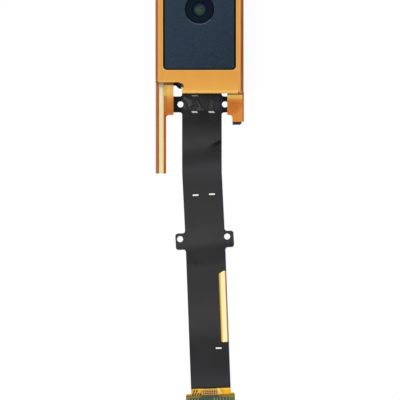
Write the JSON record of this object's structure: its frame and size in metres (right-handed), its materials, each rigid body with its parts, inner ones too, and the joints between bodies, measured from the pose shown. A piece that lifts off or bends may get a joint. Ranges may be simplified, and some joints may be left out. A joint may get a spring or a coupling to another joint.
{
  "type": "phone camera module",
  "caption": "Compact autofocus camera module in a shielded housing, with a folded amber frame circuit and a long black flexible tail to a board-to-board plug.",
  "frame": {"origin": "where the optical axis meets the module's back face", "axes": "+Z out of the lens along the optical axis, -Y along the tail towards its plug"},
  "size_m": [0.0147, 0.0765, 0.0061],
  "materials": {
    "stainless_steel": "satin rolled sheet",
    "green_laminate": "solder mask over glass laminate",
    "silicon": "polished die",
    "black_moulding": "fine matt moulding",
    "filter_glass": "polished, blue-green coating",
    "spring_copper": "etched copper alloy sheet",
    "soft_iron": "plated sheet",
    "nickel_plated_magnet": "nickel plated",
    "enamelled_copper": "wound enamelled wire",
    "barrel_moulding": "matt black-navy moulding",
    "coated_lens": "polished, green-violet coating",
    "slate_coated_steel": "matt slate coating",
    "chip_epoxy": "moulded epoxy",
    "ceramic": "fired ceramic with tinned ends",
    "amber_polyimide": "satin polyimide film over copper",
    "pale_gold_plating": "bare pale gold plating",
    "black_cover_film": "matt black cover film",
    "glossy_black_tape": "wrinkled glossy tape",
    "gold_plating": "bare gold plating",
    "connector_moulding": "moulded plug",
    "tinned_brass": "tinned strip"
  },
  "bodies": {
    "module": {"actuator_base": "black_moulding", "back_plate": "stainless_steel", "board_capacitors": "ceramic", "connector_board": "green_laminate", "connector_capacitors": "ceramic", "connector_clamps": "tinned_brass", "connector_contacts": "gold_plating", "connector_housing": "connector_moulding", "connector_plate": "stainless_steel", "drive_magnets": "nickel_plated_magnet", "driver_chip": "chip_epoxy", "exit_tape": "glossy_black_tape", "filter_holder": "black_moulding", "ground_strip": "gold_plating", "image_sensor": "silicon", "infrared_filter": "filter_glass", "left_tail_strip": "pale_gold_plating", "lower_leaf_spring": "spring_copper", "magnet_yoke": "soft_iron", "main_flex": "black_cover_film", "memory_chip": "chip_epoxy", "module_housing": "black_moulding", "right_tail_chip": "chip_epoxy", "sensor_board": "green_laminate", "shield_can": "slate_coated_steel", "stopper_frame": "black_moulding", "upper_leaf_spring": "spring_copper", "wrap_flex": "amber_polyimide"},
    "lens_group": {"focus_coil": "enamelled_copper", "front_element": "coated_lens", "lens_barrel": "barrel_moulding", "lens_carrier": "black_moulding", "rear_element": "coated_lens", "retaining_ring": "barrel_moulding", "second_element": "coated_lens", "spacer_ring": "barrel_moulding", "third_element": "coated_lens"}
  },
  "joints": [
    {"name": "focus_slide", "type": "slide", "parent": "module", "child": "lens_group", "axis": [0, 0, 1], "range_m": [0, 0.00035], "stiffness_N_per_m": 30, "springref_m": -0.0001, "deforming": ["lower_leaf_spring", "upper_leaf_spring"]}
  ]
}
